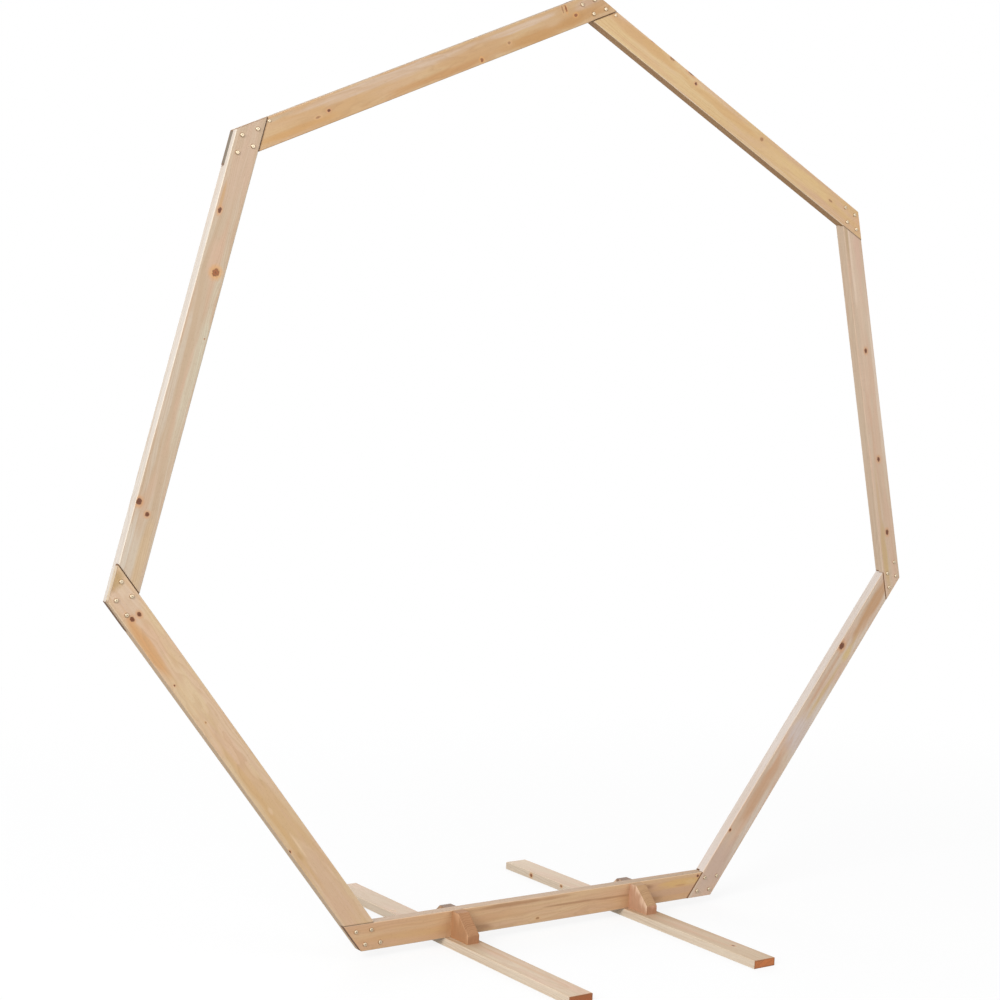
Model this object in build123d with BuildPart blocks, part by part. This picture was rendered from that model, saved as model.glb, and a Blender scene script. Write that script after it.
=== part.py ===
from build123d import *
import os
from math import cos, pi, sin, tan

os.makedirs("parts", exist_ok=True)

# Overall form: a regular heptagon standing on one flat side, apex up, sizes in mm
overall_height = 2200.0
side_names = (
    "bottom_rail",
    "lower_left_rail",
    "left_rail",
    "upper_left_rail",
    "upper_right_rail",
    "right_rail",
    "lower_right_rail",
)

# Planed softwood rails, all seven alike
rail_width = 60.0
rail_thickness = 28.0
arris_radius = 2.0
tip_radius = 3.0
shoulder_gap = 1.0

# Two flat feet that run front to back under the bottom rail
foot_length = 980.0
foot_width = 60.0
foot_thickness = 18.0
foot_spacing = 508.0
foot_arris = 2.0

# Mitred blocks that grip the bottom rail from both sides on each foot
block_thickness = 30.0
block_depth = 70.0
block_top_depth = 25.0
block_toe_height = 20.0
block_drop = 1.0
block_arris = 1.5

# Geometry that follows from the sizes above
turn = 2 * pi / len(side_names)
corner_reach = 1 / cos(turn / 2)
tip_loss = tip_radius * (corner_reach - 1)
apothem = (overall_height - foot_thickness + tip_loss) / (1 + corner_reach)
side_length = 2 * apothem * tan(turn / 2)
centre_height = foot_thickness + apothem
lap_thickness = rail_thickness / 2
block_height = rail_width - block_drop
foot_places = {"left": -foot_spacing / 2, "right": foot_spacing / 2}


def side_plane(side):
    """Mid-plane of one rail: x runs clockwise along it, y points outward, z faces the front."""
    normal = -pi / 2 - side * turn
    return Plane(
        origin=(0, 0, centre_height),
        x_dir=(sin(normal), 0, -cos(normal)),
        z_dir=(0, -1, 0),
    )


def neighbour_meets(distance, height):
    """Where a line of the neighbouring rail, this far from the centre, crosses the given height."""
    return (distance - height * cos(turn)) / sin(turn)


def make_rail(side):
    """One rail with a front lap at its clockwise end and a rear lap at the other."""
    board = side_plane(side)
    section = Plane(origin=board.origin, x_dir=board.y_dir, z_dir=board.x_dir)
    inner_line = apothem - rail_width
    shoulder_line = inner_line - shoulder_gap
    tip = (neighbour_meets(apothem, apothem), apothem)
    toe = (neighbour_meets(apothem, inner_line), inner_line)
    inner_shoulder = (-neighbour_meets(shoulder_line, inner_line), inner_line)
    outer_shoulder = (-neighbour_meets(shoulder_line, apothem), apothem)
    with BuildPart() as rail:
        # Front half: lap to the right, square-cut shoulder to the left, outer tip blunted
        with BuildSketch(board) as front_half:
            with BuildLine():
                Polyline(tip, toe, inner_shoulder, outer_shoulder, close=True)
            make_face()
            fillet(front_half.vertices().sort_by_distance((0, 0))[-1], tip_radius)
        extrude(amount=lap_thickness)

        # Rear half: the same outline mirrored end for end
        with BuildSketch(board):
            mirror(front_half.sketch_local, about=Plane.YZ)
        extrude(amount=-lap_thickness)

        # Planed section with rounded arrises along the whole length
        with BuildSketch(section):
            with Locations((apothem - rail_width / 2, 0)):
                RectangleRounded(rail_width, rail_thickness, arris_radius)
        extrude(amount=side_length / 2 + rail_width, both=True, mode=Mode.INTERSECT)
    return rail


# Seven rails, clockwise from the bottom as seen from the front
for side, label in enumerate(side_names):
    rail = make_rail(side)
    rail.part.label = label
    export_step(rail.part, f"parts/{label}.step")

for name, foot_x in foot_places.items():
    # Flat foot with eased upper edges
    with BuildPart() as foot:
        with BuildSketch(Plane.XY):
            with Locations((foot_x, 0)):
                Rectangle(foot_width, foot_length)
        extrude(amount=foot_thickness)
        fillet(foot.edges().group_by(Axis.Z)[-1], foot_arris)
    foot.part.label = f"{name}_foot"
    export_step(foot.part, f"parts/{name}_foot.step")

    # Mitred blocks in front of and behind the bottom rail
    for place, facing in (("front", -1), ("rear", 1)):
        profile_plane = Plane(
            origin=(foot_x, facing * rail_thickness / 2, foot_thickness),
            x_dir=(0, facing, 0),
            z_dir=(facing, 0, 0),
        )
        with BuildPart() as block:
            with BuildSketch(profile_plane):
                with BuildLine():
                    Polyline(
                        (0, 0),
                        (block_depth, 0),
                        (block_depth, block_toe_height),
                        (block_top_depth, block_height),
                        (0, block_height),
                        close=True,
                    )
                make_face()
            extrude(amount=block_thickness / 2, both=True)
            slope = block.faces().filter_by(lambda face: 0.1 < face.normal_at().Z < 0.9)
            fillet(slope.edges(), block_arris)
        block.part.label = f"{name}_{place}_block"
        export_step(block.part, f"parts/{name}_{place}_block.step")
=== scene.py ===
"""Wedding arch of seven half-lapped softwood rails on two flat feet."""

from __future__ import annotations

import logging
import math
from dataclasses import dataclass, field, replace
from enum import Enum

import bpy
from mathutils import Matrix, Vector


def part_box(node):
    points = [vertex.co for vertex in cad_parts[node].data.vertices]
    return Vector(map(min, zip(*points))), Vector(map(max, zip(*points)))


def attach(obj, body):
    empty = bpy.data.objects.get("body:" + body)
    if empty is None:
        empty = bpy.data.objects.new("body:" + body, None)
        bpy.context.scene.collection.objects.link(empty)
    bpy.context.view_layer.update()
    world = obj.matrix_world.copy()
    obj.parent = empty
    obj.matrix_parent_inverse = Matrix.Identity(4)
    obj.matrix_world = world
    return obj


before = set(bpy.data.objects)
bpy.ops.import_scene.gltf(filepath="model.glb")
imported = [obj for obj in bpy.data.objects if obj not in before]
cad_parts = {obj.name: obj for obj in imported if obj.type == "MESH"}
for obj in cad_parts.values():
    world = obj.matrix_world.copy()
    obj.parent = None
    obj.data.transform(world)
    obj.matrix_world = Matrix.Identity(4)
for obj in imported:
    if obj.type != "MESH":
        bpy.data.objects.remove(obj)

log = logging.getLogger("wedding_arch")

MM = 0.001
SIDES = 7
TURN = 2 * math.pi / SIDES

# A colour as it looks on screen, with parts from 0 to 255
Tone = tuple[int, int, int]
# Two values between which something fades, or that belong to two ends
Pair = tuple[float, float]


# Shader maths


class Signal:
    """A node socket that takes part in Python expressions on plain numbers."""

    def __init__(self, graph: Graph, socket: bpy.types.NodeSocket) -> None:
        """Wrap one output socket of a graph."""
        self.graph = graph
        self.socket = socket

    def _math(self, operation: str, *values: Signal | float) -> Signal:
        """Return the result of one Math node on signals or numbers."""
        inputs = dict(enumerate(values))
        return self.graph.signal("ShaderNodeMath", {"operation": operation}, inputs)

    def __add__(self, other: Signal | float) -> Signal:
        """Return self + other."""
        return self._math("ADD", self, other)

    def __radd__(self, other: float) -> Signal:
        """Return other + self."""
        return self._math("ADD", other, self)

    def __sub__(self, other: Signal | float) -> Signal:
        """Return self - other."""
        return self._math("SUBTRACT", self, other)

    def __rsub__(self, other: float) -> Signal:
        """Return other - self."""
        return self._math("SUBTRACT", other, self)

    def __mul__(self, other: Signal | float) -> Signal:
        """Return self * other."""
        return self._math("MULTIPLY", self, other)

    def __rmul__(self, other: float) -> Signal:
        """Return other * self."""
        return self._math("MULTIPLY", other, self)

    def __truediv__(self, other: Signal | float) -> Signal:
        """Return self / other."""
        return self._math("DIVIDE", self, other)

    def __rtruediv__(self, other: float) -> Signal:
        """Return other / self."""
        return self._math("DIVIDE", other, self)

    def __mod__(self, other: Signal | float) -> Signal:
        """Return the remainder of self over other, never negative."""
        return self._math("FLOORED_MODULO", self, other)

    def __rmod__(self, other: float) -> Signal:
        """Return the remainder of other over self, never negative."""
        return self._math("FLOORED_MODULO", other, self)

    def __abs__(self) -> Signal:
        """Return the absolute value."""
        return self._math("ABSOLUTE", self)

    def at_least(self, other: Signal | float) -> Signal:
        """Return the larger of self and other."""
        return self._math("MAXIMUM", self, other)

    def hypot(self, other: Signal) -> Signal:
        """Return the distance of a point that lies self one way and other across."""
        return self._math("SQRT", self * self + other * other)

    def rise(self, low: float, high: float) -> Signal:
        """Return a smooth step that leaves 0 at low and reaches 1 at high."""
        kind, smooth = "ShaderNodeMapRange", {"interpolation_type": "SMOOTHSTEP"}
        return self.graph.signal(kind, smooth, {0: self, 1: low, 2: high})

    def fall(self, low: float, high: float) -> Signal:
        """Return 1 minus the smooth step from low to high."""
        return 1.0 - self.rise(low, high)


class Graph:
    """The node tree of one material or of the world."""

    def __init__(self, owner: bpy.types.ID) -> None:
        """Open a node tree.

        Args:
            owner: The material or world that has the tree.
        """
        owner.use_nodes = True
        self.owner = owner
        self.tree = owner.node_tree

    @classmethod
    def material(cls, name: str) -> Graph:
        """Start a new material and return its graph."""
        return cls(bpy.data.materials.new(name))

    @property
    def surface(self) -> bpy.types.Node:
        """The main surface shader."""
        return self.tree.nodes["Principled BSDF"]

    def node(self, kind: str, settings: dict, values: dict) -> bpy.types.Node:
        """Add a node of any kind.

        Args:
            kind: The node's type.
            settings: The node's own properties, which are set first.
            values: A number, a colour or a signal for each socket, by name or index.

        Returns:
            The new node.
        """
        made = self.tree.nodes.new(kind)
        for key, value in settings.items():
            setattr(made, key, value)
        for key, value in values.items():
            self.put(made.inputs[key], value)
        return made

    def signal(
        self, kind: str, settings: dict, values: dict, output: int | str = 0
    ) -> Signal:
        """Add a node of any kind and return one of its outputs, by name or index."""
        return Signal(self, self.node(kind, settings, values).outputs[output])

    def put(self, socket: bpy.types.NodeSocket, value: Signal | float | tuple) -> None:
        """Link a signal to a socket, or set the socket to a plain value.

        Args:
            socket: The input socket.
            value: A signal, a number or a colour.
        """
        if isinstance(value, Signal):
            self.tree.links.new(value.socket, socket)
        else:
            socket.default_value = value

    def place(self) -> Signal:
        """Return the place on the piece, in metres."""
        return self.signal("ShaderNodeTexCoord", {}, {}, "Object")

    def split(self, vector: Signal) -> list[Signal]:
        """Return the three parts of a vector."""
        made = self.node("ShaderNodeSeparateXYZ", {}, {0: vector})
        return [Signal(self, socket) for socket in made.outputs]

    def noise(self, place: tuple, detail: float, roughness: float = 0.5) -> Signal:
        """Add a noise pattern.

        Args:
            place: Three signals or numbers, the point where the noise is read.
            detail: The number of finer layers.
            roughness: How strong the finer layers are.

        Returns:
            The noise as a signal around 0.5.
        """
        values = {
            "Vector": self.signal("ShaderNodeCombineXYZ", {}, dict(enumerate(place))),
            "Scale": 1.0,
            "Detail": detail,
            "Roughness": roughness,
        }
        return self.signal("ShaderNodeTexNoise", {"noise_dimensions": "3D"}, values)

    def blend(
        self, share: Signal, first: Signal | tuple, second: Signal | tuple
    ) -> Signal:
        """Mix two colours, each a signal, a tone or four parts in linear light."""
        values = {0: share, 6: linear(first), 7: linear(second)}
        return self.signal("ShaderNodeMix", {"data_type": "RGBA"}, values, 2)

    def feed(self, name: str, value: Signal | float | tuple) -> None:
        """Set or link one socket of the surface shader, by its name."""
        self.put(self.surface.inputs[name], value)

    def relief(self, height: Signal, depth: float, strength: float) -> None:
        """Feed the surface normal from a height, where 1 stands for depth in metres."""
        values = {"Strength": strength, "Distance": depth, "Height": height}
        self.feed("Normal", self.signal("ShaderNodeBump", {}, values))

    def open_view(self) -> Signal:
        """Find the rays that show the background, straight, mirrored or through glass.

        Returns:
            1 for those rays and 0 for the others.
        """
        rays = self.node("ShaderNodeLightPath", {}, {})
        kinds = ("Is Camera Ray", "Is Glossy Ray", "Is Transmission Ray")
        camera, glossy, through = (Signal(self, rays.outputs[kind]) for kind in kinds)
        return camera.at_least(glossy).at_least(through)

    def close(self, share: Signal, first: Signal, second: Signal) -> None:
        """Send a mix of two shaders to the tree's output.

        Args:
            share: The share of the second shader.
            first: The first shader.
            second: The second shader.
        """
        mix = self.signal("ShaderNodeMixShader", {}, {0: share, 1: first, 2: second})
        kind = "World" if isinstance(self.owner, bpy.types.World) else "Material"
        self.put(self.tree.nodes[f"{kind} Output"].inputs["Surface"], mix)


def linear(colour: Signal | tuple) -> Signal | tuple:
    """Turn a tone into the linear colour that a socket takes.

    Args:
        colour: A tone, or a signal or a linear colour, which stays as it is.

    Returns:
        The signal, or a linear colour with an alpha.
    """
    if isinstance(colour, Signal) or len(colour) == 4:
        return colour
    parts = (part / 255.0 for part in colour)
    lit = (p / 12.92 if p <= 0.04045 else ((p + 0.055) / 1.055) ** 2.4 for p in parts)
    return (*lit, 1.0)


# Finishes


class KnotKind(Enum):
    """What a knot is like, as the tones of its core, its rim and the wood round it."""

    LIVE = ((158, 92, 42), (98, 54, 24), (216, 160, 98))
    DEAD = ((122, 64, 24), (66, 33, 9), (206, 152, 108))
    FAINT = ((176, 130, 86), (142, 98, 60), (210, 168, 122))


class Face(Enum):
    """Which faces of a board a knot comes out on."""

    BROAD = "broad"
    NARROW = "narrow"


@dataclass(frozen=True)
class Knot:
    """A knot that runs through a board, with sizes in millimetres.

    Args:
        along: Its place along the board, from the middle.
        across: Its place across that face, from the centre line.
        radius: Its radius.
        stretch: How many times longer it is along the grain.
        kind: What it is like.
        face: The faces that it comes out on.
        lean: How far it leans along the board on its way through.
        ragged: How uneven its outline is, in radii.
        pull: How strongly the grain bends round it.
        pull_reach: How far along and across it bends the grain, in radii.
    """

    along: float
    across: float
    radius: float
    stretch: float = 1.2
    kind: KnotKind = KnotKind.DEAD
    face: Face = Face.BROAD
    lean: float = 0.12
    ragged: float = 0.9
    pull: float = 0.85
    pull_reach: Pair = (2.6, 2.2)


@dataclass(frozen=True)
class Patch:
    """A long patch of another tone with a soft edge, with sizes in millimetres.

    Args:
        along: Its place along the board, from the middle.
        across: Its place across the board, from the centre line.
        length: Half its length.
        width: Half its width.
        tone: Its tone.
        share: How much of that tone shows in its middle.
    """

    along: float
    across: float
    length: float
    width: float
    tone: Tone
    share: float = 0.6


class Cut(Enum):
    """Where the tree's heart lay from the board, across and out, in millimetres."""

    FLAT = (2.0, -46.0)
    RIFT = (34.0, -52.0)
    EDGE = (78.0, -30.0)


class Pattern(Enum):
    """The noises in a board's wood.

    Each has its sizes along, across and out of the board in millimetres, its detail,
    its roughness, and how far the seed moves it in each of the three directions.
    """

    UNEVEN = ((5.0, 5.0, 9.0), 2.0, 0.5, (0, 0, 1))
    WOBBLE = ((170.0, 34.0, 34.0), 2.0, 0.55, (1, 0, 0))
    RIPPLE = ((42.0, 11.0, 11.0), 1.0, 0.5, (0, 1, 0))
    CLOUD = ((150.0, 24.0, 24.0), 2.0, 0.5, (0, 0, 2))
    STREAK = ((240.0, 5.5, 5.5), 2.0, 0.5, (1, 0, 0))
    FIBRE = ((46.0, 0.75, 0.75), 3.0, 0.6, (0, 0, 1))
    FLECK = ((9.0, 0.5, 0.5), 0.0, 0.5, (1, 0, 0))
    PORES = ((1.4, 1.1, 1.1), 2.0, 0.7, (0, 0, 0))


@dataclass(frozen=True)
class Joint:
    """The half-laps at the two ends of a rail and the shade painted in them, with sizes
    in millimetres.

    Args:
        half_inner: Half the rail's inner edge between its joints.
        seam_shades: How dark the painted shade in its joints is at its positive and its
            negative end.
        screws: Where screws are driven at its positive end.
        tone: The tone of the painted shade in a seam.
        screw_shade: The radii where the painted shade round a screw's head, which also
            stands for crushed wood, fades and ends.
        skin: The places out of the board between which that dark sets in.
        lap_end: How far past the inner edge the painted shade line along a lap starts
            and is full.
        lap_edge: How far from the rail's inner side that line starts and is full.
        rail_edge: How far before the next rail's edge the painted shade of the seam
            starts and is full.
        covered: How soon the seam is full on the side that the next rail covers, as
            the place along times the place out.
        gap: How far into the corner the shadow on a shoulder fades and ends.
        gap_share: How dark that shadow is.
    """

    half_inner: float
    seam_shades: Pair
    screws: tuple[Pair, ...]
    tone: Tone = (118, 76, 40)
    screw_shade: Pair = (4.4, 6.2)
    skin: Pair = (9.0, 12.0)
    lap_end: Pair = (0.6, 1.6)
    lap_edge: Pair = (2.4, 1.2)
    rail_edge: Pair = (3.6, 2.0)
    covered: float = 400.0
    gap: Pair = (20.0, 34.0)
    gap_share: float = 0.35


@dataclass(frozen=True)
class Board:
    """Where a board lies and how large its section is.

    Args:
        turn: Rows that point along, across and out of the board.
        centre: The middle of the board, in metres.
        half_width: Half its size across, in millimetres.
        half_depth: Half its size outwards, in millimetres.
        joint: The laps at its ends.
        slope: The plane of a block's slope, its normal along and out and its distance.
    """

    turn: Matrix
    centre: Vector
    half_width: float
    half_depth: float
    joint: Joint | None = None
    slope: tuple[float, ...] = ()

    def axes(self, graph: Graph) -> list[Signal]:
        """Return the place on the board.

        Args:
            graph: The material's graph.

        Returns:
            The places along, across and out of the board, in millimetres.
        """
        values = {
            "Vector": graph.place(),
            "Scale": (1 / MM,) * 3,
            "Rotation": tuple(self.turn.to_euler("XYZ")),
            "Location": tuple(-(self.turn @ self.centre) / MM),
        }
        mapped = graph.signal("ShaderNodeMapping", {"vector_type": "POINT"}, values)
        return graph.split(mapped)

    def facing(self, graph: Graph) -> list[Signal]:
        """Return how far the surface faces along and across the board.

        Args:
            graph: The material's graph.

        Returns:
            The two cosines, along and across.
        """
        normal = graph.signal("ShaderNodeNewGeometry", {}, {}, "Normal")
        kind, dot = "ShaderNodeVectorMath", {"operation": "DOT_PRODUCT"}
        sides = ({0: normal, 1: tuple(axis)} for axis in self.turn[:2])
        return [graph.signal(kind, dot, side, "Value") for side in sides]


@dataclass(frozen=True)
class Timber:
    """Planed fir with growth rings, cathedral figure, knots and end grain.

    Args:
        pale: The tone of the early wood.
        warm: The tone of the broad warmer bands.
        late: The tone of the late wood lines.
        cut: How the board was sawn from the tree.
        taper: How fast the heart leaves the board, in millimetres for each metre.
        drift: How fast the heart moves sideways, in millimetres for each metre.
        year: The thickness of a year's growth, in millimetres.
        band: The thickness of a broad band, in millimetres.
        bands: The strength of the broad bands.
        lines: The strength of the late wood lines.
        seed: The place in the noise, so that no two boards are alike.
        blush: The tone of the pinker clouds.
        outer: The tone of the side that faces the positive way across, with painted
            light on some boards.
        inner: The tone of the side that faces the negative way across, with painted
            light and shade on some boards.
        ends: The tones of the end grain at the positive and the negative end, with
            painted light and shade on some boards.
        heart: The dark tone of pores and of the end grain's rim.
        worn_and_sheen_tone: The tone of the long edges, rubbed pale and with a painted
            highlight, and of torn fibres.
        wear_and_sheen: How strongly the long edges are rubbed pale and given a painted
            highlight.
        edge: How far in from the corners that pale band reaches, in millimetres.
        rim: How dark the rim of the cut ends is.
        torn: How much the sides are torn next to a slope.
    """

    pale: Tone
    warm: Tone
    late: Tone
    cut: Cut = Cut.FLAT
    taper: float = 26.0
    drift: float = 8.0
    year: float = 3.6
    band: float = 11.0
    bands: float = 0.8
    lines: float = 0.24
    seed: float = 0.0
    blush: Tone = (212, 174, 148)
    outer: Tone = (228, 208, 184)
    inner: Tone = (226, 204, 178)
    ends: tuple[Tone, Tone] = ((156, 112, 76), (156, 112, 76))
    heart: Tone = (124, 78, 42)
    worn_and_sheen_tone: Tone = (238, 218, 192)
    wear_and_sheen: float = 1.0
    edge: float = 2.0
    rim: float = 0.45
    torn: float = 0.0

    def material(
        self,
        name: str,
        board: Board,
        knots: tuple[Knot, ...],
        patches: tuple[Patch, ...],
    ) -> bpy.types.Material:
        """Build the material of one board.

        Args:
            name: The material's name.
            board: Where the board lies.
            knots: The board's knots.
            patches: The board's patches of other tones.

        Returns:
            The finished material.
        """
        paint = WoodPaint(Graph.material(name), self, board, knots)
        paint.tint(patches)
        paint.wear_and_sheen()
        paint.saw()
        paint.set_knots()
        if board.joint:
            paint.join(board.joint)
        return paint.finish()


class WoodPaint:
    """The colour and relief of one board, laid on layer by layer."""

    def __init__(
        self, graph: Graph, timber: Timber, board: Board, knots: tuple[Knot, ...]
    ) -> None:
        """Grow the figure of the wood and lay on its broad bands.

        Args:
            graph: The material's graph.
            timber: The wood.
            board: Where the board lies.
            knots: The board's knots.
        """
        self.graph, self.timber, self.board, self.knots = graph, timber, board, knots
        self.x, self.y, self.z = board.axes(graph)
        self.along, self.outward = board.facing(graph)
        self.uneven = self._noise(Pattern.UNEVEN)
        self.reaches, bent = self._knot_reaches()
        self.wobble = self._noise(Pattern.WOBBLE, bent)
        self.ripple = self._noise(Pattern.RIPPLE, bent)
        self.cloud = self._noise(Pattern.CLOUD)
        self.fibre = self._noise(Pattern.FIBRE)
        self.fleck = self._noise(Pattern.FLECK).rise(0.7, 0.78)
        self.pores = self._noise(Pattern.PORES)
        band, self.late = self._rings(bent)
        self.arris = self._arris()
        self.end = abs(self.along).rise(0.35, 0.62)
        self.core = self.uneven * 0.0
        self.colour = graph.blend(band * timber.bands, timber.pale, timber.warm)

    def _noise(self, pattern: Pattern, across: Signal | None = None) -> Signal:
        """Add one of the wood's noises.

        Args:
            pattern: Which noise it is.
            across: The place across the board, where the grain bends round knots.

        Returns:
            The noise as a signal around 0.5.
        """
        sizes, detail, roughness, moves = pattern.value
        spot = (self.x, self.y if across is None else across, self.z)
        spot = (part / size for part, size in zip(spot, sizes))
        seed = self.timber.seed
        spot = (part + seed * move if move else part for part, move in zip(spot, moves))
        return self.graph.noise(tuple(spot), detail, roughness)

    def _knot_reaches(self) -> tuple[list[Signal], Signal]:
        """Find how far a point is from each knot, and bend the grain round them.

        Returns:
            The distances, in radii of each knot, and the bent place across the board.
        """
        x, y, z = self.x, self.y, self.z
        broad = abs(self.outward).fall(0.5, 0.8)
        reaches, bent = [], y
        for knot in self.knots:
            flat = knot.face is Face.BROAD
            over = (x - knot.along - (z if flat else y) * knot.lean) / knot.stretch
            side = (y if flat else z) - knot.across
            far = over.hypot(side) / knot.radius + (self.uneven - 0.5) * knot.ragged
            # Faces that it doesn't come out on are four radii further away
            hidden = (1.0 - broad) if flat else broad
            reaches.append(far + hidden * 4.0)
            if flat:
                spread = over / (knot.radius * knot.pull_reach[0])
                lift = side / (knot.radius * knot.pull_reach[1])
                near = knot.pull / (1.0 + spread * spread + lift * lift)
                bent = bent - side * near
        return reaches, bent

    def _rings(self, bent: Signal) -> tuple[Signal, Signal]:
        """Return the growth rings.

        Args:
            bent: The place across the board, bent round the knots.

        Returns:
            The broad bands and the late wood lines, as strengths between 0 and 1.
        """
        timber, noise, x = self.timber, self.graph.noise, self.x
        across, out = timber.cut.value
        sideways = bent - across - x * (timber.drift * MM)
        below = self.z - out + x * (timber.taper * MM)
        # Waves and ripples bend the rings, and good years thicken them, in millimetres
        ring = sideways.hypot(below) + self.wobble * 15.0 + self.ripple * 1.8
        ring = ring + noise((ring / 24.0, timber.seed, x / 900.0), 1.0) * 13.0
        band = noise((ring / timber.band, x / 620.0 + timber.seed, 3.7), 1.0)
        stage = (ring / timber.year) % 1.0
        late = stage.rise(0.3, 0.88) * stage.fall(0.92, 1.0)
        thin = noise((ring / 9.0, timber.seed, x / 300.0), 0.0)
        return band.rise(0.36, 0.64), late * thin.rise(0.25, 0.7)

    def _arris(self) -> Signal:
        """Find the rounded edges, by the slope of a block or by the board's section.

        Returns:
            1 on the rounded edges and 0 elsewhere.
        """
        if self.board.slope:
            along, outward = abs(self.along), abs(self.outward)
            rounded = outward.rise(0.12, 0.35) * outward.fall(0.8, 0.97)
            return rounded * along.rise(0.1, 0.25)
        edge = self.timber.edge
        side = (abs(self.y) - (self.board.half_width - edge)).at_least(0.0)
        top = (abs(self.z) - (self.board.half_depth - edge)).at_least(0.0)
        return (side * top).rise(0.1, 1.2)

    def _lay(self, mask: Signal, tone: Signal | Tone, share: float = 1.0) -> None:
        """Lay a tone over the colour.

        Args:
            mask: Where it lies, between 0 and 1.
            tone: The tone, plain or uneven.
            share: How much of it shows where the mask is 1.
        """
        amount = mask if share == 1.0 else mask * share
        self.colour = self.graph.blend(amount, self.colour, tone)

    def tint(self, patches: tuple[Patch, ...]) -> None:
        """Lay on the clouds, patches and side tones, then the fine lines.

        Args:
            patches: The board's patches of other tones.
        """
        timber = self.timber
        self._lay(self.cloud.rise(0.4, 0.68), timber.blush, share=0.6)
        for patch in patches:
            over = (self.x - patch.along) / patch.length
            side = (self.y - patch.across) / patch.width
            far = over.hypot(side) + (self.wobble - 0.5) * 1.4
            near = (far + (self.ripple - 0.5) * 0.6).fall(0.4, 1.15)
            self._lay(near, patch.tone, share=patch.share)
        # Side tones, which on some boards are painted light and shade for how the lamps
        # fall on each side
        self._lay(self.outward.rise(0.75, 0.95), timber.outer, share=0.8)
        self._lay((0.0 - self.outward).rise(0.75, 0.95), timber.inner, share=0.8)
        streak = self._noise(Pattern.STREAK).rise(0.42, 0.72)
        self._lay(streak, timber.warm, share=0.4 * timber.bands)
        self._lay(self.late, timber.late, share=timber.lines)
        self._lay(self.fibre.rise(0.4, 0.85), timber.late, share=0.28)
        self._lay(self.fleck, timber.heart, share=0.3)

    def wear_and_sheen(self) -> None:
        """Pale the long edges, as rubbing and as a painted highlight, and tear the
        sides next to a slope.
        """
        timber = self.timber
        # Pale long edges: partly rubbed wood, partly a painted highlight on the rounded
        # edges
        self._lay(self.arris * ((0.25 + self.cloud * 0.5) * timber.wear_and_sheen), timber.worn_and_sheen_tone)
        if timber.torn:
            over, out, reach = self.board.slope
            inside = self.x * over + self.z * out - reach
            torn = inside.rise(-24.0, -4.0) * self.ripple.rise(0.4, 0.58)
            sides = abs(self.outward).rise(0.5, 0.8)
            self._lay(torn * sides, timber.worn_and_sheen_tone, share=timber.torn)

    def saw(self) -> None:
        """Show end grain with pores and a dark rim on the faces cut across the wood."""
        board, timber, blend = self.board, self.timber, self.graph.blend
        face = blend(self.along.rise(-0.1, 0.1), timber.ends[1], timber.ends[0])
        dark = self.late * 0.5 + self.pores.rise(0.45, 0.75) * 0.3 + self.cloud * 0.25
        rim = (abs(self.y) - board.half_width).at_least(abs(self.z) - board.half_depth)
        dark = dark + rim.rise(-4.0, -0.5) * timber.rim
        self._lay(self.end, blend(dark, face, timber.heart), share=0.92)

    def set_knots(self) -> None:
        """Set in the knots, each with its own rings and a halo of warmer wood."""
        graph = self.graph
        for knot, reach in zip(self.knots, self.reaches):
            middle, edge, halo = knot.kind.value
            spot = (reach * 3.2, self.wobble * 4.0, self.timber.seed)
            years = graph.noise(spot, 1.0).rise(0.35, 0.7)
            rim, pith = reach.rise(0.5, 0.95), reach.fall(0.1, 0.45)
            inside = middle
            for mask, share in ((years, 0.5), (rim, 0.7), (pith, 0.6)):
                inside = graph.blend(mask * share, inside, edge)
            whole = reach.fall(0.75, 1.25)
            self._lay(reach.fall(0.8, 2.6), halo, share=0.8)
            self._lay(whole, inside)
            self.core = self.core.at_least(whole)

    def join(self, joint: Joint) -> None:
        """Paint shade round the screws and in and along the corner joints.

        Args:
            joint: The laps at the board's ends.
        """
        x, y, width = self.x, self.y, self.board.half_width
        # Painted shade round each screw's head, which also stands for crushed wood
        for along, across in joint.screws:
            dark = (x - along).hypot(y - across).fall(*joint.screw_shade)
            self._lay(dark * self.z.rise(*joint.skin), self.timber.heart, share=0.5)
        away = abs(x) * math.sin(TURN) + y * math.cos(TURN)
        inner = joint.half_inner * math.sin(TURN) - width * math.cos(TURN)
        # Painted shadow in the gap at each shoulder, and painted shade lines along each
        # lap and seam
        shoulder = self.end * away.fall(*(inner + depth for depth in joint.gap))
        past = abs(x).rise(*(joint.half_inner + far for far in joint.lap_end))
        lap = past * (0.0 - y).rise(*(width - far for far in joint.lap_edge))
        seam = away.rise(*(inner - far for far in joint.rail_edge))
        seam = seam * (0.0 - x * self.z).rise(0.0, joint.covered)
        positive, negative = joint.seam_shades
        ends = x.rise(-1.0, 1.0) * (positive - negative) + negative
        dark = (lap.at_least(seam) * ends).at_least(shoulder * joint.gap_share)
        self._lay(dark, joint.tone)

    def finish(self) -> bpy.types.Material:
        """Feed the surface with the colour, the roughness and the relief.

        Returns:
            The finished material.
        """
        graph = self.graph
        graph.feed("Base Color", self.colour)
        rough = 0.56 + (self.fibre - 0.5) * 0.14 - self.core * 0.14
        graph.feed("Roughness", rough + self.end * 0.18 + self.arris * 0.06)
        graph.feed("IOR", 1.46)
        height = self.fibre * 0.55 + self.late * 0.25 + self.core * 0.2
        height = height - self.fleck * 0.3 + self.pores * self.end
        graph.relief(height, depth=0.35 * MM, strength=0.45)
        return graph.owner


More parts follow.
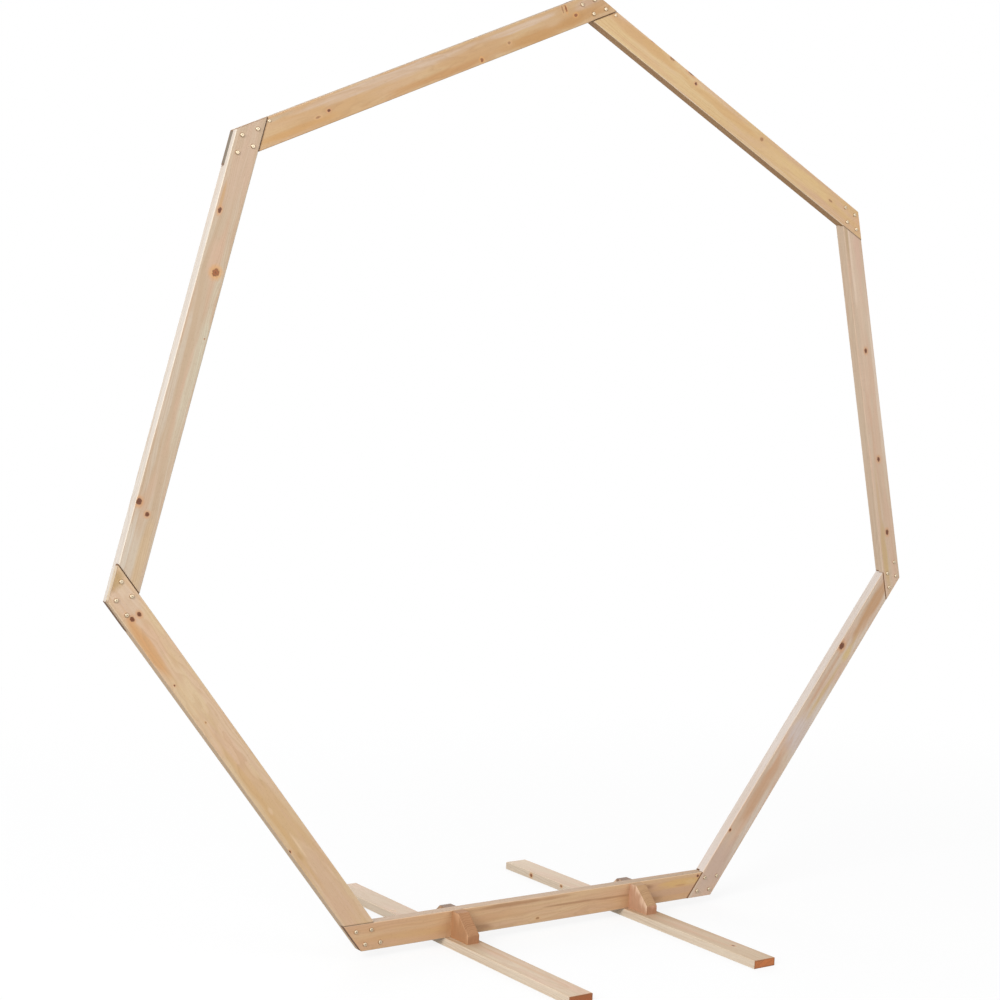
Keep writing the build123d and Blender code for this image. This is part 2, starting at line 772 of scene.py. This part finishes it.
@dataclass(frozen=True)
class Zinc:
    """Yellow zinc on small steel screws, a little dull.

    Args:
        bright: The linear colour where the plating is clean.
        dull: The linear colour where it has gone dull.
    """

    bright: tuple = (0.7, 0.6, 0.45, 1.0)
    dull: tuple = (0.46, 0.36, 0.24, 1.0)

    def material(self, name: str) -> bpy.types.Material:
        """Build the material.

        Args:
            name: The material's name.

        Returns:
            The finished material.
        """
        graph = Graph.material(name)
        x, y, z = (part / MM for part in graph.split(graph.place()))
        cloud = graph.noise((x / 1.6, y / 1.6, z / 1.6), 3.0)
        scratch = graph.noise((x / 0.3, y / 0.3, z / 2.0), 1.0)
        tone = graph.noise((x / 160.0, y / 160.0, z / 160.0), 0.0).rise(0.3, 0.7)
        dull = cloud.rise(0.35, 0.7) * 0.6 + tone * 0.4
        graph.feed("Base Color", graph.blend(dull, self.bright, self.dull))
        graph.feed("Metallic", 1.0)
        graph.feed("Roughness", 0.28 + cloud * 0.16 + scratch * 0.06)
        graph.relief(scratch, depth=0.02 * MM, strength=0.3)
        return graph.owner


# The rails and the base


@dataclass(kw_only=True)
class Piece:
    """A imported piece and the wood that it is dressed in."""

    name: str
    timber: Timber
    knots: tuple[Knot, ...] = ()
    patches: tuple[Patch, ...] = ()

    def paint(self, board: Board) -> None:
        """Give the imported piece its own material.

        Args:
            board: Where the piece lies.
        """
        name = f"{self.name}_wood"
        wood = self.timber.material(name, board, self.knots, self.patches)
        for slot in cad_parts[self.name].material_slots:
            slot.material = wood
        log.info("%s dressed", self.name)


@dataclass(kw_only=True)
class Rail(Piece):
    """One rail of the ring.

    Args:
        side: Its number, clockwise from the bottom as seen from the front.
        seam_shades: How dark the painted shade in its joints is at its positive and its
            negative end.
    """

    side: int
    seam_shades: Pair

    def dress(self, ring: Ring) -> None:
        """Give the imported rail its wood.

        Args:
            ring: The sizes of the ring.
        """
        axes, middle = ring.axes(self.side), ring.middle
        inner = (ring.apothem - ring.rail_width) * math.tan(TURN / 2) / MM
        screws = ((x / MM, (y - middle) / MM) for x, y in ring.screw_places())
        board = Board(
            axes,
            ring.centre + axes[1] * middle,
            ring.rail_width / 2 / MM,
            ring.rail_thickness / 2 / MM,
            Joint(inner, self.seam_shades, tuple(screws)),
        )
        self.paint(board)


RAILS = (
    Rail(
        name="bottom_rail",
        side=0,
        seam_shades=(0.25, 0.6),
        timber=Timber(
            pale=(211, 177, 137),
            warm=(200, 155, 113),
            late=(166, 122, 84),
            cut=Cut.RIFT,
            lines=0.18,
            seed=1.3,
            blush=(204, 164, 132),
            # Top face darker as painted shade against the light from above; cut ends
            # dark as end grain with painted shade
            inner=(152, 125, 97),
            ends=((96, 70, 46), (120, 86, 56)),
            wear_and_sheen=0.5,
        ),
        knots=(
            Knot(29, 19, 2.6, 1.8, KnotKind.FAINT),
            Knot(-455, -22, 2.8, 1.3),
        ),
        patches=(
            Patch(90, -23, 200, 6, (158, 112, 70)),
            Patch(-70, -4, 110, 3.5, (148, 100, 60)),
            Patch(-190, -2, 60, 3, (150, 104, 66)),
            # Painted shadows of the two front blocks, low on the face to the right of
            # each
            Patch(200, 20, 50, 14, (150, 104, 68)),
            Patch(-296, 20, 46, 14, (150, 104, 68)),
            Patch(-400, -12, 80, 10, (212, 172, 110), 0.8),
            Patch(-290, -14, 30, 8, (140, 96, 62), 0.5),
            Patch(-390, 7, 110, 9, (198, 160, 130), 0.7),
            Patch(-398, -6, 20, 2.5, (184, 132, 92)),
            Patch(-430, -12, 14, 5, (214, 178, 128), 0.7),
            Patch(340, 8, 120, 12, (204, 164, 112), 0.5),
        ),
    ),
    Rail(
        name="lower_left_rail",
        side=1,
        seam_shades=(0.6, 0.25),
        timber=Timber(
            pale=(214, 187, 150),
            warm=(204, 168, 124),
            late=(178, 136, 94),
            seed=4.1,
            outer=(208, 180, 146),
            # The positive cut end is painted pale cream as painted light from the left
            ends=((226, 210, 184), (140, 104, 70)),
            wear_and_sheen=0.3,
        ),
        knots=(
            Knot(437, 11, 4.4),
            Knot(435, -6, 4.4),
            Knot(-197, 30, 3.2),
            Knot(267, 20, 1.5, 1.4),
            Knot(159, 13, 1.4, 1.6, KnotKind.FAINT),
        ),
        patches=(
            Patch(470, 2, 50, 40, (212, 188, 166), 0.7),
            Patch(530, 0, 22, 30, (168, 136, 84), 0.7),
            Patch(375, 20, 95, 12, (206, 154, 100), 0.85),
            Patch(-330, -4, 190, 24, (208, 174, 146)),
            Patch(120, -18, 260, 9, (214, 184, 156), 0.7),
            Patch(-100, 16, 240, 9, (204, 166, 116), 0.7),
            Patch(-92, 12, 14, 5, (224, 194, 160), 0.7),
            Patch(-200, 6, 44, 3.5, (226, 196, 160), 0.75),
            Patch(-220, 17, 16, 5, (188, 150, 102)),
        ),
    ),
    Rail(
        name="left_rail",
        side=2,
        seam_shades=(0.5, 0.15),
        timber=Timber(
            pale=(199, 180, 156),
            warm=(190, 163, 134),
            late=(170, 136, 104),
            blush=(204, 170, 144),
            cut=Cut.EDGE,
            seed=7.7,
            # Outer side painted near white as painted light from the left; negative cut
            # end dark as end grain with painted shade
            outer=(216, 211, 204),
            ends=((150, 116, 88), (96, 76, 56)),
            worn_and_sheen_tone=(228, 222, 208),
        ),
        knots=(
            Knot(324, 19, 3.6, 1.7),
            Knot(198, -8, 8.0, 1.05, KnotKind.LIVE),
            Knot(-292, 23, 5.8, 1.15),
            Knot(-313, -1, 4.2, 1.1),
            Knot(60, -22, 1.2, 1.0),
        ),
        patches=(
            Patch(352, 21, 40, 4, (194, 150, 98), 0.7),
            Patch(-292, 24, 13, 9, (190, 146, 96), 0.8),
            Patch(-375, 22, 90, 7, (218, 210, 196), 0.7),
            Patch(10, -18, 230, 12, (202, 195, 172), 0.75),
            Patch(-60, 20, 200, 9, (206, 194, 176)),
            Patch(-420, 10, 90, 14, (208, 196, 178)),
            Patch(-400, -12, 110, 12, (206, 176, 136)),
            Patch(420, -4, 100, 26, (202, 172, 148)),
            Patch(230, 4, 60, 20, (206, 172, 146)),
        ),
    ),
    Rail(
        name="upper_left_rail",
        side=3,
        seam_shades=(0.55, 0.35),
        timber=Timber(
            pale=(204, 172, 130),
            warm=(195, 152, 104),
            late=(168, 124, 80),
            blush=(202, 165, 128),
            seed=11.2,
            outer=(172, 152, 130),
            # The negative cut end is painted grey as painted shade on that end
            ends=((160, 120, 80), (116, 116, 108)),
            wear_and_sheen=0.0,
        ),
        knots=(
            Knot(-281, -3, 3.2),
            Knot(-311, -8, 2.4, 2.6, KnotKind.FAINT),
            Knot(133, -21, 4.6, 0.85, KnotKind.LIVE),
            Knot(219, -7, 3.2, 1.4, KnotKind.FAINT),
            Knot(424, -3, 3.6, 1.4, KnotKind.LIVE),
            Knot(392, 20, 8.0, 0.3, KnotKind.FAINT),
            Knot(402, 19, 8.0, 0.3, KnotKind.LIVE),
        ),
        patches=(
            Patch(-60, 17, 380, 12, (206, 182, 160), 0.8),
            Patch(260, 16, 120, 9, (212, 190, 170), 0.7),
            Patch(-380, -15, 130, 9, (198, 152, 96), 0.85),
            Patch(320, -14, 190, 18, (190, 142, 86), 0.9),
            Patch(40, -19, 200, 9, (192, 144, 92), 0.8),
            Patch(-420, 22, 70, 5, (184, 170, 146), 0.45),
            Patch(480, 16, 60, 12, (202, 174, 152), 0.7),
        ),
    ),
    Rail(
        name="upper_right_rail",
        side=4,
        seam_shades=(0.5, 0.5),
        timber=Timber(
            pale=(220, 190, 142),
            warm=(211, 173, 121),
            late=(182, 138, 88),
            cut=Cut.RIFT,
            seed=15.9,
            # The underside is painted dark amber as painted shade under the rail
            inner=(166, 116, 60),
            outer=(210, 184, 152),
            wear_and_sheen=1.3,
        ),
        knots=(
            Knot(115, 13, 4.6, 1.2, KnotKind.FAINT),
            Knot(-228, 28, 4.6, 1.8, KnotKind.FAINT),
            Knot(-135, 15, 3.2),
            Knot(-160, 31, 4.6, 2.4),
            Knot(-299, 32, 3.8, 1.6),
            Knot(396, 2, 2.4, 3.0, KnotKind.FAINT),
        ),
        patches=(
            Patch(-300, -18, 190, 6, (210, 168, 128), 0.45),
            Patch(300, 4, 200, 22, (222, 190, 136), 0.7),
            Patch(520, 6, 50, 22, (216, 172, 132)),
            Patch(-30, 8, 200, 12, (208, 164, 108)),
            Patch(-320, 14, 170, 14, (206, 164, 110), 0.75),
            Patch(180, -24, 200, 4, (222, 194, 160), 0.7),
        ),
    ),
    Rail(
        name="right_rail",
        side=5,
        seam_shades=(1.0, 0.2),
        timber=Timber(
            pale=(208, 186, 162),
            warm=(198, 168, 140),
            late=(178, 142, 110),
            cut=Cut.EDGE,
            lines=0.18,
            seed=19.4,
            inner=(210, 187, 162),
            outer=(206, 180, 156),
            wear_and_sheen=0.15,
        ),
        knots=(
            Knot(-131, 0, 4.6, 1.4),
            Knot(164, 1, 4.6, 1.4),
            Knot(365, 2, 4.8, 1.5),
        ),
        patches=(
            Patch(440, -16, 110, 12, (196, 168, 112), 0.75),
            Patch(300, -16, 200, 7, (200, 166, 128)),
            Patch(-240, -6, 260, 20, (216, 190, 166), 0.7),
            Patch(-400, 12, 130, 14, (212, 176, 154), 0.75),
            Patch(-440, -22, 90, 6, (180, 154, 116), 0.7),
            Patch(40, 12, 240, 8, (212, 180, 154)),
            Patch(-60, 23, 380, 6, (224, 206, 188)),
            Patch(-330, -14, 140, 5, (228, 206, 184), 0.8),
        ),
    ),
    Rail(
        name="lower_right_rail",
        side=6,
        seam_shades=(1.0, 0.45),
        timber=Timber(
            pale=(212, 194, 174),
            warm=(200, 172, 146),
            late=(180, 146, 116),
            cut=Cut.RIFT,
            seed=23.8,
            inner=(222, 214, 208),
            outer=(184, 154, 130),
            wear_and_sheen=0.5,
        ),
        knots=(
            Knot(-233, -21, 8.2, 1.25),
            Knot(341, -24, 3.0, 1.3),
        ),
        patches=(
            Patch(-400, -2, 150, 18, (188, 142, 98), 0.85),
            Patch(-120, 6, 170, 7, (200, 170, 112), 0.7),
            Patch(-222, 8, 34, 12, (214, 186, 124), 0.8),
            Patch(-40, 20, 130, 9, (212, 202, 192), 0.8),
            Patch(330, 18, 170, 10, (212, 198, 184), 0.7),
            Patch(-150, -12, 160, 7, (194, 150, 118)),
            Patch(26, 4, 62, 34, (206, 192, 186), 0.85),
            Patch(210, -4, 150, 20, (192, 146, 108), 0.7),
            Patch(440, 0, 100, 34, (196, 168, 152), 0.75),
        ),
    ),
)


@dataclass
class Ring:
    """The heptagon of seven rails, with sizes in metres."""

    rail_width: float = 60 * MM
    rail_thickness: float = 28 * MM
    foot_thickness: float = 18 * MM
    apothem: float = field(init=False)
    centre: Vector = field(init=False)

    def __post_init__(self) -> None:
        """Take the ring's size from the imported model."""
        low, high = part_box("bottom_rail")
        reach = high.x - low.x
        flat = self.rail_width / math.tan(TURN)
        self.apothem = (reach - 2 * flat) / (2 * math.tan(TURN / 2))
        self.centre = Vector((0, 0, self.foot_thickness + self.apothem))

    @property
    def middle(self) -> float:
        """How far a rail's centre line is from the ring's centre."""
        return self.apothem - self.rail_width / 2

    def axes(self, side: int) -> Matrix:
        """Return the directions of one rail.

        Args:
            side: The rail's number, clockwise from the bottom as seen from the front.

        Returns:
            Rows that point along it, outward and to the front.
        """
        normal = -math.pi / 2 - side * TURN
        along = Vector((math.sin(normal), 0, -math.cos(normal)))
        outward = Vector((math.cos(normal), 0, math.sin(normal)))
        return Matrix((along, outward, Vector((0, -1, 0))))

    def screw_places(self) -> list[Pair]:
        """Return the corners of a parallelogram that fits a rail's lap.

        Returns:
            The four screws' places along the rail and from the ring's centre.
        """
        corner = self.middle * math.tan(TURN / 2)
        step = self.rail_width / math.sin(TURN) / 4
        return [
            (
                corner + along + across * math.cos(TURN),
                self.middle - across * math.sin(TURN),
            )
            for along in (-step, step)
            for across in (-step, step)
        ]

    def dress(self) -> None:
        """Dress the seven rails, each with its own figure, knots and tones."""
        for rail in RAILS:
            rail.dress(self)


class Grain(Enum):
    """Which way the grain of a piece of the base runs."""

    TO_FRONT = (0, -1, 0)
    UPRIGHT = (0, 0, 1)


@dataclass(kw_only=True)
class BasePiece(Piece):
    """A foot or a block, with sizes in millimetres.

    Args:
        grain: Which way its grain runs.
        top_depth: How deep the level top of a block is.
        toe_height: How high the upright toe of a block is.
    """

    grain: Grain = Grain.UPRIGHT
    top_depth: float = 25.0
    toe_height: float = 20.0

    def dress(self) -> None:
        """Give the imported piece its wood."""
        low, high = (Vector(corner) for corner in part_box(self.name))
        along, across = Vector(self.grain.value), Vector((1, 0, 0))
        out = along.cross(across)
        size, middle = (high - low) / MM, (low + high) / 2
        slope = self._slope(size, middle) if self.grain is Grain.UPRIGHT else ()
        turn, half_depth = Matrix((along, across, out)), abs(size.dot(out)) / 2
        self.paint(Board(turn, middle, size.x / 2, half_depth, slope=slope))

    def _slope(self, size: Vector, middle: Vector) -> tuple[float, ...]:
        """Return the plane of a block's slope.

        Args:
            size: The block's size.
            middle: The block's middle.

        Returns:
            The plane's normal along and out of the block, and its distance.
        """
        front = math.copysign(1.0, middle.y)
        run, drop = size.y - self.top_depth, size.z - self.toe_height
        normal = Vector((run, front * drop)).normalized()
        start = Vector((size.z / 2, front * (self.top_depth - size.y / 2)))
        return (*normal, normal.dot(start))


# The wood that the feet share, and those of the left and the right blocks
FOOT_WOOD = Timber(
    pale=(200, 178, 150),
    warm=(188, 158, 126),
    late=(166, 130, 98),
    blush=(206, 170, 146),
    # The feet's left sides are painted paler as painted light against the shade under
    # the bottom rail
    inner=(232, 216, 194),
    outer=(206, 184, 158),
    worn_and_sheen_tone=(228, 212, 188),
    wear_and_sheen=0.8,
)
LEFT_WOOD = Timber(
    pale=(186, 142, 102),
    warm=(174, 126, 86),
    late=(144, 100, 64),
    blush=(186, 136, 100),
    inner=(178, 132, 94),
    outer=(172, 126, 90),
    ends=((178, 132, 94), (150, 112, 84)),
    worn_and_sheen_tone=(226, 182, 142),
    wear_and_sheen=1.2,
    rim=0.1,
    torn=0.4,
)
RIGHT_WOOD = Timber(
    pale=(200, 160, 130),
    warm=(188, 142, 112),
    late=(154, 110, 80),
    blush=(200, 148, 122),
    inner=(198, 156, 126),
    outer=(184, 140, 110),
    ends=((188, 152, 112), (160, 118, 88)),
    worn_and_sheen_tone=(236, 204, 174),
    wear_and_sheen=1.6,
    rim=0.1,
    torn=0.8,
)
# Shaded copies of the blocks' wood for the rear blocks: painted shade on their tops and
# left sides
SHADED_REAR_TOP = ((132, 116, 104), (150, 112, 84))
SHADED_REAR_SIDE = (130, 110, 94)
DARK_TOE = Patch(-26, 0, 18, 60, (154, 106, 72), 0.8)

BASE_PIECES = (
    BasePiece(
        name="left_foot",
        grain=Grain.TO_FRONT,
        timber=replace(FOOT_WOOD, seed=31.0, ends=((172, 86, 34), (186, 136, 92))),
        knots=(Knot(-232, -19, 3.6, 1.5, KnotKind.FAINT),),
        patches=(
            Patch(250, 8, 200, 7, (196, 156, 120)),
            Patch(60, -20, 160, 6, (214, 196, 166)),
            # Painted shade on the rear of the top, against the light of the rear lamp
            Patch(-370, 0, 110, 40, (188, 166, 138)),
        ),
    ),
    BasePiece(
        name="right_foot",
        grain=Grain.TO_FRONT,
        timber=replace(
            FOOT_WOOD, cut=Cut.RIFT, seed=36.5, ends=((204, 114, 54), (186, 136, 92))
        ),
        knots=(
            Knot(376, 5, 3.0, 1.6),
            Knot(-372, 0, 4.0, 1.3, KnotKind.LIVE, Face.NARROW),
            Knot(-240, 3, 2.8, 1.3, KnotKind.LIVE, Face.NARROW),
        ),
        patches=(Patch(180, -6, 220, 8, (202, 162, 132)),),
    ),
    BasePiece(
        name="left_front_block",
        timber=replace(LEFT_WOOD, seed=41.0),
        patches=(DARK_TOE,),
    ),
    BasePiece(
        name="left_rear_block",
        timber=replace(LEFT_WOOD, seed=43.0, ends=SHADED_REAR_TOP, inner=SHADED_REAR_SIDE),
    ),
    BasePiece(
        name="right_front_block",
        timber=replace(RIGHT_WOOD, seed=47.0),
        patches=(DARK_TOE,),
    ),
    BasePiece(
        name="right_rear_block",
        timber=replace(RIGHT_WOOD, seed=49.0, ends=SHADED_REAR_TOP, inner=SHADED_REAR_SIDE),
    ),
)


@dataclass
class Base:
    """The two feet and the four blocks that grip the bottom rail."""

    pieces: tuple[BasePiece, ...] = BASE_PIECES

    def dress(self) -> None:
        """Dress each foot and block."""
        for piece in self.pieces:
            piece.dress()


# The screws


def pick(*pieces: bpy.types.Object) -> None:
    """Select only these pieces and make the first of them active.

    Args:
        pieces: The pieces, or none to deselect everything.
    """
    bpy.ops.object.select_all(action="DESELECT")
    for piece in pieces:
        piece.select_set(True)
    if pieces:
        bpy.context.view_layer.objects.active = pieces[0]


def pick_faces(piece: bpy.types.Object, direction: Vector) -> None:
    """Select only the faces that look one way.

    Args:
        piece: The object in edit mode.
        direction: The normal of the faces to select.
    """
    bpy.ops.mesh.select_all(action="DESELECT")
    bpy.ops.object.mode_set(mode="OBJECT")
    for face in piece.data.polygons:
        face.select = face.normal.dot(direction) > 0.99
    bpy.ops.object.mode_set(mode="EDIT")


def open_mesh() -> bpy.types.Object:
    """Put the new primitive's place in its mesh and start to shape its faces.

    Returns:
        The primitive in edit mode.
    """
    bpy.ops.object.transform_apply(location=True, rotation=True, scale=True)
    bpy.ops.object.mode_set(mode="EDIT")
    bpy.ops.mesh.select_mode(type="FACE")
    return bpy.context.object


@dataclass
class PanScrew:
    """A pan-head screw with a cross recess, in metres.

    Args:
        crown: The share of the head's height that is rounded.
        point: The share of the length that is its point.
        tip: The share of the shank's radius that is left at the tip.
        slot_taper: The share of the cross's size that is left at its bottom.
        smooth: The largest angle in degrees that is shaded smooth.
    """

    head_radius: float = 4.5 * MM
    head_height: float = 2.8 * MM
    crown: float = 0.72
    shank_radius: float = 2.0 * MM
    length: float = 20 * MM
    point: float = 0.2
    tip: float = 0.15
    slot_width: float = 1.1 * MM
    slot_reach: float = 2.5 * MM
    slot_depth: float = 1.5 * MM
    slot_taper: float = 0.55
    smooth: float = 35.0

    def build(self) -> bpy.types.Object:
        """Model the screw upright, with its head's underside at the origin.

        Returns:
            The screw.
        """
        pick()
        bpy.ops.mesh.primitive_cylinder_add(
            vertices=32,
            radius=self.head_radius,
            depth=self.head_height,
            location=(0, 0, self.head_height / 2),
        )
        screw = open_mesh()
        pick_faces(screw, Vector((0, 0, 1)))
        bpy.ops.mesh.bevel(
            offset=self.head_height * self.crown,
            segments=5,
            profile=0.55,
            affect="EDGES",
        )
        pick_faces(screw, Vector((0, 0, -1)))
        bpy.ops.mesh.inset(thickness=self.head_radius - self.shank_radius)
        for share in (1 - self.point, self.point):
            bpy.ops.mesh.extrude_region_move(
                TRANSFORM_OT_translate={"value": (0, 0, -self.length * share)}
            )
        bpy.ops.transform.resize(value=(self.tip, self.tip, 1))
        bpy.ops.object.mode_set(mode="OBJECT")
        long, wide, deep = self.slot_reach * 2, self.slot_width, self.slot_depth * 2
        self._cut_slot(screw, (long, wide, deep))
        self._cut_slot(screw, (wide, long, deep))
        pick(screw)
        bpy.ops.object.shade_smooth_by_angle(angle=math.radians(self.smooth))
        return screw

    def _cut_slot(self, screw: bpy.types.Object, size: tuple) -> None:
        """Cut one tapered slot of the cross into the head.

        Args:
            screw: The screw.
            size: The size of the cutter, which stands half out of the head.
        """
        pick()
        top = (0, 0, self.head_height)
        bpy.ops.mesh.primitive_cube_add(size=1, location=top, scale=size)
        cutter = open_mesh()
        pick_faces(cutter, Vector((0, 0, -1)))
        bpy.ops.transform.resize(value=(self.slot_taper, self.slot_taper, 1))
        bpy.ops.object.mode_set(mode="OBJECT")
        pick(screw)
        cut = screw.modifiers.new("cross", "BOOLEAN")
        cut.operation = "DIFFERENCE"
        cut.solver = "EXACT"
        cut.object = cutter
        bpy.ops.object.modifier_apply(modifier=cut.name)
        bpy.data.objects.remove(cutter)


@dataclass(frozen=True)
class LooseScrew:
    """A smaller screw outside a lap, with sizes in metres.

    Args:
        corner: The number of the corner whose screws it belongs to.
        side: The number of the rail that it is driven into.
        along: Its place along that rail.
        outward: Its place outward from the rail's centre line.
        scale: Its size against the other screws.
        spin: How far its cross is turned, in radians.
    """

    corner: int
    side: int
    along: float
    outward: float
    scale: float = 0.75
    spin: float = 0.4


@dataclass
class CornerScrews:
    """Four screws in a parallelogram through each corner lap.

    Args:
        names: The names of the corners' screws, clockwise from the lower left.
        loose: The screws outside the laps.
        screw_spin: How far the cross turns from screw to screw, in radians.
        corner_spin: How far it turns from corner to corner, in radians.
    """

    names: tuple[str, ...] = (
        "lower_left_corner_screws",
        "left_corner_screws",
        "upper_left_corner_screws",
        "apex_screws",
        "upper_right_corner_screws",
        "right_corner_screws",
        "lower_right_corner_screws",
    )
    screw: PanScrew = field(default_factory=PanScrew)
    loose: tuple[LooseScrew, ...] = (
        LooseScrew(2, 3, -421 * MM, 22 * MM),
        LooseScrew(3, 4, -421 * MM, 19 * MM),
    )
    screw_spin: float = 0.7
    corner_spin: float = 1.9

    def build(self, ring: Ring, steel: bpy.types.Material) -> None:
        """Model one screw and copy it to every corner.

        Args:
            ring: The sizes of the ring.
            steel: The screws' material.
        """
        master = self.screw.build()
        master.data.materials.append(steel)
        for side, name in enumerate(self.names):
            copies = []
            for number, place in enumerate(ring.screw_places()):
                spin = self.screw_spin * number + self.corner_spin * side
                copies.append(self._copy(master, ring, side, place, spin))
            for odd in self.loose:
                if odd.corner == side:
                    spot = (odd.along, ring.middle + odd.outward)
                    copies.append(
                        self._copy(master, ring, odd.side, spot, odd.spin, odd.scale)
                    )
            pick(*copies)
            bpy.ops.object.join()
            piece = bpy.context.object
            piece.name = piece.data.name = name
            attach(piece, "root")
            log.info("%s placed", name)
        bpy.data.objects.remove(master)

    def _copy(
        self,
        master: bpy.types.Object,
        ring: Ring,
        side: int,
        place: Pair,
        spin: float,
        scale: float = 1.0,
    ) -> bpy.types.Object:
        """Set one screw in place.

        Args:
            master: The screw that is copied.
            ring: The sizes of the ring.
            side: The number of the rail that the screw is driven into.
            place: Its place along the rail and outward from the ring's centre.
            spin: How far its cross is turned.
            scale: Its size against the other screws.

        Returns:
            The copy, with its place in its mesh.
        """
        copy = master.copy()
        copy.data = master.data.copy()
        bpy.context.scene.collection.objects.link(copy)
        axes = ring.axes(side)
        spot = ring.centre + axes[0] * place[0] + axes[1] * place[1]
        spot = spot + axes[2] * (ring.rail_thickness / 2)
        turned = axes.transposed().to_4x4() @ Matrix.Rotation(spin, 4, "Z")
        copy.data.transform(Matrix.Translation(spot) @ turned @ Matrix.Scale(scale, 4))
        return copy


# The studio


@dataclass(frozen=True)
class Lamp:
    """A soft square lamp.

    Args:
        name: Its name.
        place: Where it stands, in metres.
        size: The side of its square, in metres.
        power: Its power in watts.
    """

    name: str
    place: tuple[float, float, float]
    size: float
    power: float

    def build(self, aim: Vector) -> None:
        """Add the lamp.

        Args:
            aim: The point that it faces.
        """
        lamp = bpy.data.lights.new(self.name, "AREA")
        lamp.size = self.size
        lamp.energy = self.power
        holder = bpy.data.objects.new(self.name, lamp)
        holder.location = self.place
        ray = aim - Vector(self.place)
        holder.rotation_euler = ray.to_track_quat("-Z", "Y").to_euler()
        bpy.context.scene.collection.objects.link(holder)


@dataclass(frozen=True)
class Viewpoint:
    """The camera at the photograph's viewing angle, with its angles in radians.

    Args:
        place: Where it stands, in metres.
        yaw: How far it is turned to the left.
        pitch: How far it is tilted up.
        roll: How far it is leaned to the left.
        focal: Its focal length, in pixels.
        centre: Where its axis meets the picture, in pixels.
        width: The width of the picture, in pixels.
        sensor: The width of its sensor, in millimetres.
    """

    place: tuple[float, float, float] = (-2.67682, -3.67515, 1.28018)
    yaw: float = -0.6693
    pitch: float = 0.0186
    roll: float = 0.0495
    focal: float = 1927.11
    centre: Pair = (650.0, 350.0)
    width: float = 1000.0
    sensor: float = 36.0

    def build(self) -> None:
        """Add the camera and look through it."""
        camera = bpy.data.cameras.new("camera")
        camera.sensor_width = self.sensor
        camera.lens = self.sensor * self.focal / self.width
        camera.shift_x = 0.5 - self.centre[0] / self.width
        camera.shift_y = self.centre[1] / self.width - 0.5
        level = math.cos(self.pitch)
        ahead = (-math.sin(self.yaw) * level, math.cos(self.yaw) * level)
        ahead = Vector((*ahead, math.sin(self.pitch)))
        right = Vector((math.cos(self.yaw), math.sin(self.yaw), 0))
        up = right.cross(ahead)
        rolled = right * math.cos(self.roll) + up * math.sin(self.roll)
        up = up * math.cos(self.roll) - right * math.sin(self.roll)
        turn = Matrix((rolled, up, -ahead)).transposed().to_4x4()
        holder = bpy.data.objects.new("camera", camera)
        holder.matrix_world = Matrix.Translation(Vector(self.place)) @ turn
        bpy.context.scene.collection.objects.link(holder)
        bpy.context.scene.camera = holder


@dataclass
class Studio:
    """A pale floor under an even sky, soft lamps and the camera, with sizes in metres.

    Args:
        floor_drop: How far the floor lies under the feet.
        floor_lit: The linear colour of the floor where it lights the arch.
        floor_seen: The linear colour that the floor shows.
        fade: The distances from the middle where the floor starts and ends to whiten.
        sky: The linear colour of the sky where it lights the arch.
        aim: The point that the lamps face.
    """

    floor_size: float = 60.0
    floor_drop: float = 0.0004
    floor_lit: tuple = (0.3, 0.3, 0.3, 1)
    floor_seen: tuple = (0.93, 0.93, 0.93, 1)
    fade: Pair = (1.2, 3.6)
    sky: tuple = (0.98, 0.99, 1.0, 1)
    sky_strength: float = 0.58
    white: tuple = (1, 1, 1, 1)
    lamps: tuple[Lamp, ...] = (
        Lamp("key", (-5.2, -2.6, 3.2), 3.5, 290.0),
        Lamp("fill", (2.6, -6.0, 2.4), 4.5, 125.0),
        Lamp("rear", (2.4, 6.2, 2.2), 4.5, 170.0),
    )
    aim: tuple = (0, 0, 1.0)
    viewpoint: Viewpoint = Viewpoint()

    def build(self) -> None:
        """Add the floor, the world, the lamps and the camera."""
        self._floor()
        self._world()
        for lamp in self.lamps:
            lamp.build(Vector(self.aim))
        self.viewpoint.build()
        bpy.context.scene.view_settings.view_transform = "Standard"
        log.info("studio built")

    def _floor(self) -> None:
        """Lay the floor, which fades into the white background."""
        pick()
        low = (0, 0, -self.floor_drop)
        bpy.ops.mesh.primitive_plane_add(size=self.floor_size, location=low)
        floor = bpy.context.object
        floor.name = "floor"
        graph = Graph.material("floor_paint")
        x, y, _ = graph.split(graph.place())
        seen = graph.open_view()
        # Four fifths of the white show under the arch, and all of it far away
        white = x.hypot(y).rise(*self.fade) * 0.2 + 0.8
        graph.feed("Base Color", graph.blend(seen, self.floor_lit, self.floor_seen))
        graph.feed("Roughness", 0.9)
        paint = Signal(graph, graph.surface.outputs[0])
        glow = graph.signal("ShaderNodeEmission", {}, {"Color": self.white})
        graph.close(white * seen, paint, glow)
        floor.data.materials.append(graph.owner)

    def _world(self) -> None:
        """Set an even sky that shows as white."""
        world = bpy.data.worlds.new("studio")
        bpy.context.scene.world = world
        graph = Graph(world)
        soft = graph.tree.nodes["Background"]
        graph.put(soft.inputs["Color"], self.sky)
        graph.put(soft.inputs["Strength"], self.sky_strength)
        white = graph.signal("ShaderNodeBackground", {}, {"Color": self.white})
        graph.close(graph.open_view(), Signal(graph, soft.outputs[0]), white)


def main() -> None:
    """Build the arch and its studio in order."""
    logging.basicConfig(level=logging.INFO, format="%(name)s: %(message)s")
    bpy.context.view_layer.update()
    ring = Ring()
    ring.dress()
    Base().dress()
    CornerScrews().build(ring, Zinc().material("yellow_zinc"))
    Studio().build()


if __name__ == "__main__":
    main()
